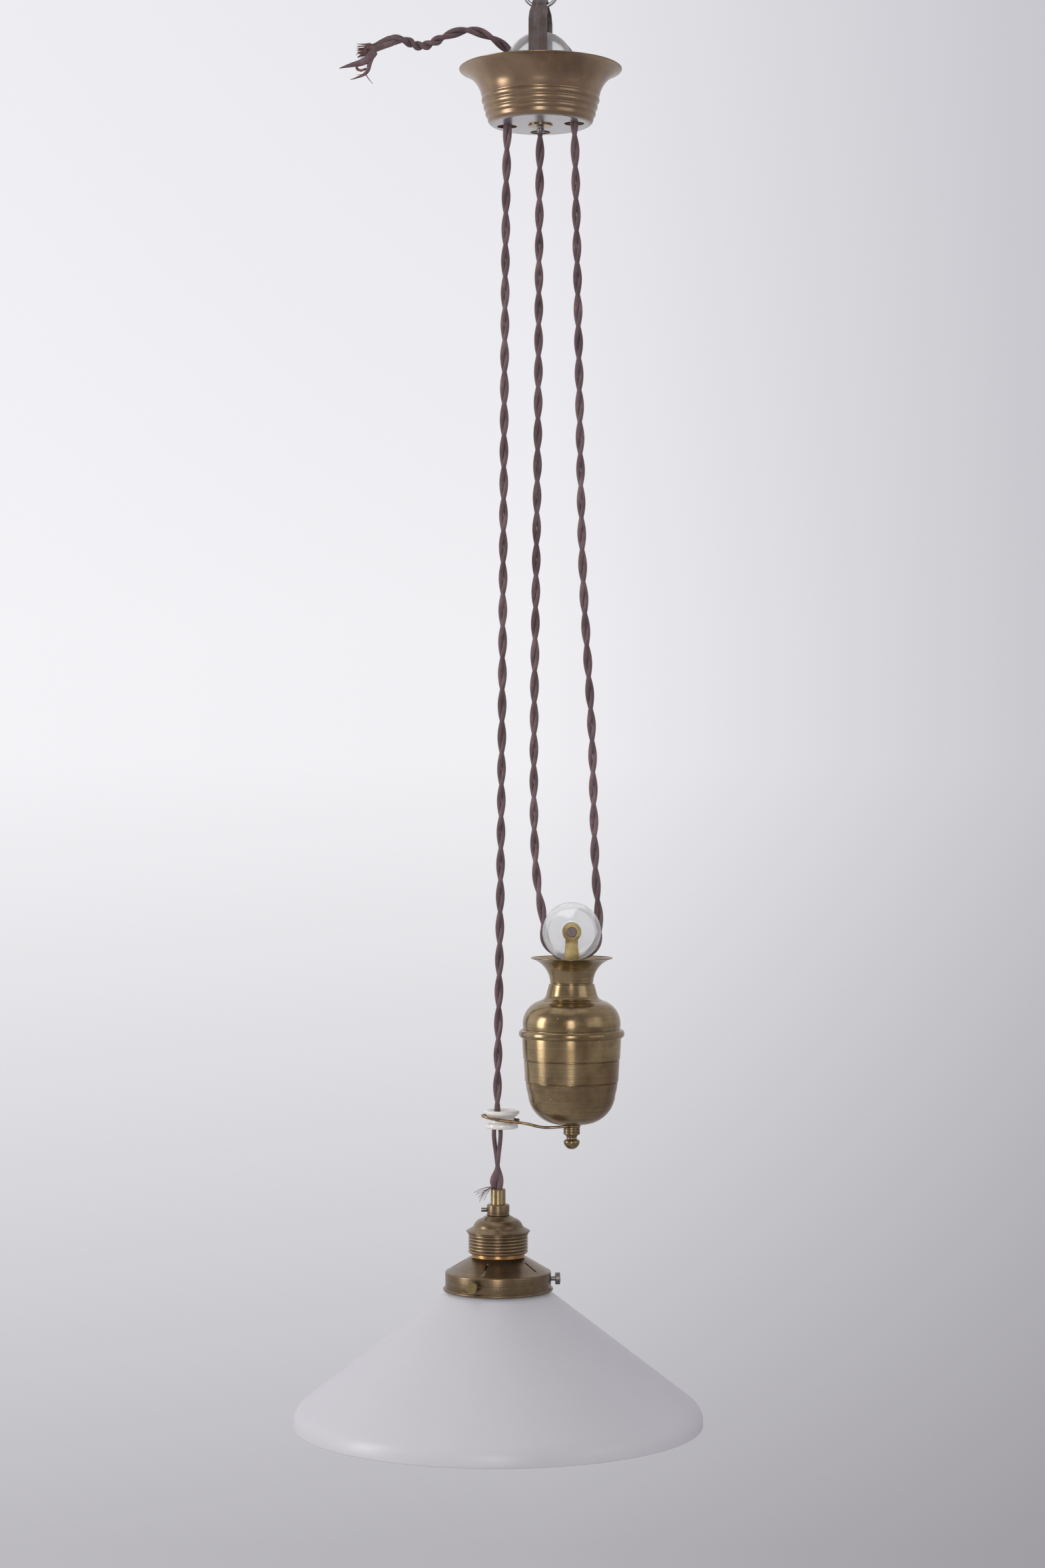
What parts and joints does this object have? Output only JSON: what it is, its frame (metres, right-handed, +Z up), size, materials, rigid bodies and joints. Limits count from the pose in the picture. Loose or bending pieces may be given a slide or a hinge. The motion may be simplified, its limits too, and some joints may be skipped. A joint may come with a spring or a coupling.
{
  "type": "rise and fall pendant",
  "caption": "Rise and fall ceiling pendant: opal glass coolie shade on a twisted flex, balanced by a brass urn counterweight running on glass pulleys.",
  "frame": {"origin": "centre of the steel ring that the ceiling hook holds", "axes": "+Z up along the hanging line, -Y towards the viewer of the picture, +X to the viewer's right"},
  "size_m": [0.271, 0.2709, 0.9601],
  "materials": {
    "bright_steel": "bright, lightly worn",
    "dark_steel": "dull grey-brown, aged",
    "grey_steel": "satin, worn",
    "aged_brass": "polished then aged, warm highlights",
    "fine_brass": "lightly aged",
    "clear_glass": "clear, smooth",
    "opal_glass": "white opal, semi-gloss",
    "porcelain": "white, glazed",
    "brown_flex": "dark brown braid, twisted pair",
    "bare_copper": "bare twisted ends",
    "cast_iron": "rough casting"
  },
  "bodies": {
    "ring": {"hanging_ring": "bright_steel"},
    "ceiling": {"hanger_strap": "dark_steel", "ceiling_axle": "dark_steel", "ceiling_axle_nut": "dark_steel", "ceiling_cup": "aged_brass", "cup_stud": "dark_steel", "cup_lock_nut": "fine_brass", "cup_washer": "aged_brass", "cup_knob_nut": "grey_steel", "cord_over_ceiling_pulley": "brown_flex", "anchor_knot": "brown_flex", "lamp_cord_run": "brown_flex", "weight_cord_run": "brown_flex", "anchor_cord_run": "brown_flex", "supply_tail": "brown_flex", "tail_cores": "bare_copper"},
    "ceiling_pulley": {"ceiling_pulley": "clear_glass"},
    "counterweight": {"pulley_fork": "fine_brass", "weight_axle": "dark_steel", "weight_axle_nut": "dark_steel", "tie_rod": "dark_steel", "tie_rod_nut": "fine_brass", "spacer_tube": "dark_steel", "weight_cap": "aged_brass", "weight_bowl": "aged_brass", "weight_filling": "cast_iron", "finial": "aged_brass", "guide_wire": "fine_brass", "cord_under_weight_pulley": "brown_flex"},
    "weight_pulley": {"weight_pulley": "clear_glass"},
    "eyelet": {"guide_eyelet": "porcelain"},
    "lamp": {"cord_nipple": "fine_brass", "grip_collar": "aged_brass", "grip_screw": "grey_steel", "holder_cap": "aged_brass", "porcelain_insert": "porcelain", "thread_shell": "fine_brass", "centre_contact": "fine_brass", "terminal_screws": "fine_brass", "holder_sleeve": "aged_brass", "gallery": "aged_brass", "shade": "opal_glass", "lamp_cord_end": "brown_flex"},
    "thumbscrew_1": {"thumbscrew_1": "grey_steel"},
    "thumbscrew_2": {"thumbscrew_2": "grey_steel"},
    "thumbscrew_3": {"thumbscrew_3": "grey_steel"}
  },
  "joints": [
    {"name": "pendant_swing", "type": "hinge", "parent": "ring", "child": "ceiling", "pos_m": [0, 0, -0.0114], "axis": [1, 0, 0], "range_deg": [-10, 10]},
    {"name": "lamp_rise_fall", "type": "slide", "parent": "ceiling", "child": "lamp", "axis": [0, 0, 1], "range_m": [-0.88, 0.022], "deforming": ["lamp_cord_run"]},
    {"name": "weight_rise_fall", "type": "slide", "parent": "ceiling", "child": "counterweight", "axis": [0, 0, 1], "range_m": [-0.011, 0.44], "deforming": ["weight_cord_run", "anchor_cord_run"]},
    {"name": "ceiling_pulley_turn", "type": "hinge", "parent": "ceiling", "child": "ceiling_pulley", "pos_m": [0, 0, -0.0515], "axis": [0.2079, 0.9781, 0], "continuous": true},
    {"name": "weight_pulley_turn", "type": "hinge", "parent": "counterweight", "child": "weight_pulley", "pos_m": [0.0205, -0.0023, -0.6213], "axis": [0, 1, 0], "continuous": true},
    {"name": "eyelet_spin", "type": "hinge", "parent": "counterweight", "child": "eyelet", "pos_m": [-0.0256, 0.00457, -0.7456], "axis": [0, 0, 1], "continuous": true},
    {"name": "thumbscrew_1_out", "type": "slide", "parent": "lamp", "child": "thumbscrew_1", "axis": [0.9962, 0.0872, 0], "range_m": [0, 0.004]},
    {"name": "thumbscrew_2_out", "type": "slide", "parent": "lamp", "child": "thumbscrew_2", "axis": [-0.5736, 0.8192, 0], "range_m": [0, 0.004]},
    {"name": "thumbscrew_3_out", "type": "slide", "parent": "lamp", "child": "thumbscrew_3", "axis": [-0.4226, -0.9063, 0], "range_m": [0, 0.004]}
  ],
  "couplings": [
    {"joint": "weight_rise_fall", "follows": "lamp_rise_fall", "ratio": -0.5},
    {"joint": "ceiling_pulley_turn", "follows": "lamp_rise_fall", "rad_per_m": 45.455},
    {"joint": "weight_pulley_turn", "follows": "lamp_rise_fall", "rad_per_m": 27.322}
  ]
}
